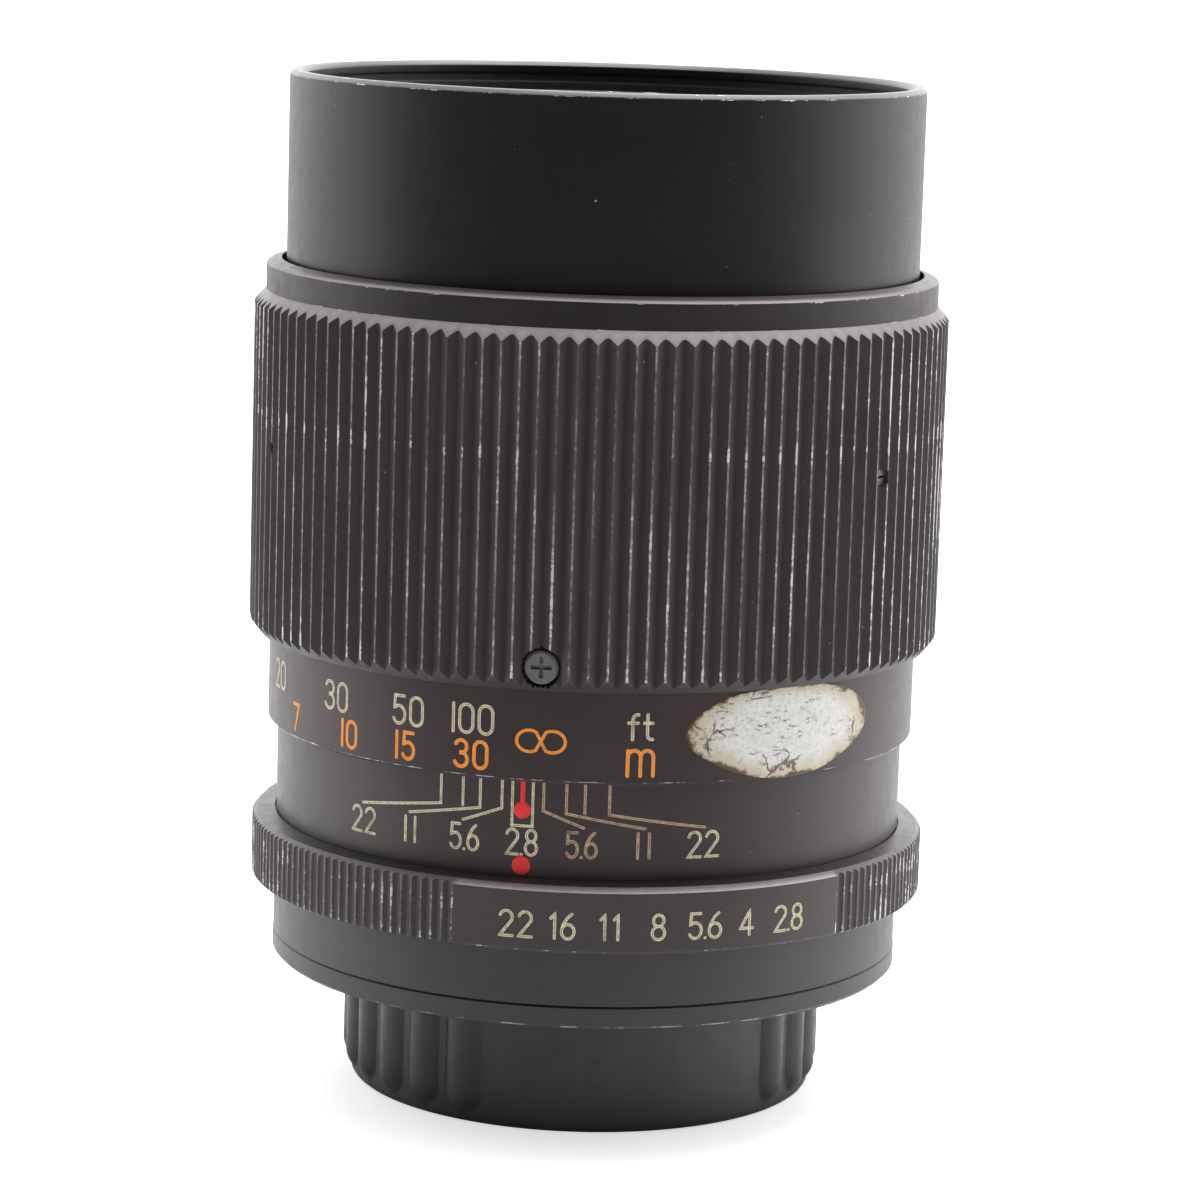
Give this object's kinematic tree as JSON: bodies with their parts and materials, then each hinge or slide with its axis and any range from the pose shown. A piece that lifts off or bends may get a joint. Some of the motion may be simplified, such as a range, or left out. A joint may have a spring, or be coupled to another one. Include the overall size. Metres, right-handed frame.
{
  "type": "prime camera lens",
  "caption": "Screw-mount short telephoto lens with fluted focusing grip, scales, knurled aperture ring, working iris, sliding hood and ribbed rear cap.",
  "frame": {"origin": "on the optical axis at the underside of the rear cap, where the lens stands", "axes": "+Z along the optical axis towards the front glass, -Y towards the side with the index line"},
  "size_m": [0.067, 0.067, 0.0983],
  "materials": {
    "hood_black": "satin black enamel, worn bright at the rim",
    "front_black": "satin black anodised front barrel",
    "grip_black": "brown-black anodised, crests worn to metal",
    "scale_black": "satin black anodised",
    "barrel_black": "satin black anodised",
    "ring_black": "satin black anodised, fine knurl",
    "inner_black": "matt black anodised",
    "cap_plastic": "moulded black plastic",
    "glass": "polished and coated optical glass",
    "brass": "turned and greased",
    "steel": "bright zinc plated or bare steel",
    "screw_black": "blackened steel",
    "blade_steel": "blued thin steel",
    "felt": "black velvet strip",
    "sticker_paper": "scuffed white label"
  },
  "bodies": {
    "fixed": {"base_flange": "barrel_black", "mount_screws": "steel", "base_housing": "barrel_black", "fixed_barrel": "barrel_black", "focus_key": "brass", "key_screws": "steel", "detent_ball": "steel", "rear_baffle": "inner_black", "pin_guide": "inner_black", "pin_spring": "steel"},
    "aperture_ring": {"aperture_ring": "ring_black", "aperture_drive_ring": "inner_black", "aperture_drive_screw": "steel"},
    "optical_unit": {"inner_barrel": "inner_black", "front_barrel": "front_black", "hood_felt": "felt", "front_retaining_ring": "front_black", "element_spacer": "inner_black", "lens_cell": "inner_black", "third_element_ring": "inner_black", "front_element": "glass", "second_element": "glass", "third_element": "glass", "iris_housing": "inner_black", "iris_front_plate": "inner_black", "iris_retaining_ring": "inner_black", "rear_cell": "inner_black", "rear_element": "glass", "rear_retaining_ring": "inner_black"},
    "focus_ring": {"focus_grip": "grip_black", "distance_sleeve": "scale_black", "helicoid_ring": "brass", "retainer_ring": "brass", "grip_screws": "screw_black", "set_screws": "screw_black", "inspection_sticker": "sticker_paper"},
    "hood": {"hood": "hood_black"},
    "iris_cam_ring": {"iris_cam_ring": "brass"},
    "stop_down_pin": {"stop_down_pin": "steel"},
    "rear_cap": {"rear_cap": "cap_plastic"},
    "iris_blade_1": {"iris_blade_1": "blade_steel"},
    "iris_blade_2": {"iris_blade_2": "blade_steel"},
    "iris_blade_3": {"iris_blade_3": "blade_steel"},
    "iris_blade_4": {"iris_blade_4": "blade_steel"},
    "iris_blade_5": {"iris_blade_5": "blade_steel"},
    "iris_blade_6": {"iris_blade_6": "blade_steel"}
  },
  "joints": [
    {"name": "focus_turn", "type": "hinge", "parent": "optical_unit", "child": "focus_ring", "pos_m": [0, 0, 0.06], "axis": [0, 0, 1], "range_deg": [-3.1, 236.9]},
    {"name": "optics_slide", "type": "slide", "parent": "fixed", "child": "optical_unit", "axis": [0, 0, 1], "range_m": [-0.0002, 0.0119]},
    {"name": "hood_slide", "type": "slide", "parent": "optical_unit", "child": "hood", "axis": [0, 0, 1], "range_m": [0, 0.0155]},
    {"name": "aperture_turn", "type": "hinge", "parent": "fixed", "child": "aperture_ring", "pos_m": [0, 0, 0.023], "axis": [0, 0, 1], "range_deg": [-46.2, 0]},
    {"name": "iris_cam_turn", "type": "hinge", "parent": "optical_unit", "child": "iris_cam_ring", "pos_m": [0, 0, 0.0545], "axis": [0, 0, 1], "range_deg": [-46.3, 0.1]},
    {"name": "stop_down_press", "type": "slide", "parent": "fixed", "child": "stop_down_pin", "axis": [0, 0, 1], "range_m": [0, 0.0025], "stiffness_N_per_m": 120, "springref_m": -0.004, "deforming": ["pin_spring"]},
    {"name": "cap_off", "type": "slide", "parent": "fixed", "child": "rear_cap", "axis": [0, 0, -1], "range_m": [0, 0.016]},
    {"name": "blade_1_turn", "type": "hinge", "parent": "optical_unit", "child": "iris_blade_1", "pos_m": [0.0212, 0, 0.056], "axis": [0, 0, 1], "range_deg": [-0.1, 29]},
    {"name": "blade_2_turn", "type": "hinge", "parent": "optical_unit", "child": "iris_blade_2", "pos_m": [0.0106, 0.01836, 0.056], "axis": [0, 0, 1], "range_deg": [-0.1, 29]},
    {"name": "blade_3_turn", "type": "hinge", "parent": "optical_unit", "child": "iris_blade_3", "pos_m": [-0.0106, 0.01836, 0.056], "axis": [0, 0, 1], "range_deg": [-0.1, 29]},
    {"name": "blade_4_turn", "type": "hinge", "parent": "optical_unit", "child": "iris_blade_4", "pos_m": [-0.0212, 0, 0.056], "axis": [0, 0, 1], "range_deg": [-0.1, 29]},
    {"name": "blade_5_turn", "type": "hinge", "parent": "optical_unit", "child": "iris_blade_5", "pos_m": [-0.0106, -0.01836, 0.056], "axis": [0, 0, 1], "range_deg": [-0.1, 29]},
    {"name": "blade_6_turn", "type": "hinge", "parent": "optical_unit", "child": "iris_blade_6", "pos_m": [0.0106, -0.01836, 0.056], "axis": [0, 0, 1], "range_deg": [-0.1, 29]}
  ],
  "couplings": [
    {"joint": "optics_slide", "follows": "focus_turn", "m_per_rad": 0.0028648},
    {"joint": "iris_cam_turn", "follows": "aperture_turn", "ratio": 1},
    {"joint": "blade_1_turn", "follows": "aperture_turn", "ratio": -0.62511},
    {"joint": "blade_2_turn", "follows": "aperture_turn", "ratio": -0.62511},
    {"joint": "blade_3_turn", "follows": "aperture_turn", "ratio": -0.62511},
    {"joint": "blade_4_turn", "follows": "aperture_turn", "ratio": -0.62511},
    {"joint": "blade_5_turn", "follows": "aperture_turn", "ratio": -0.62511},
    {"joint": "blade_6_turn", "follows": "aperture_turn", "ratio": -0.62511}
  ]
}
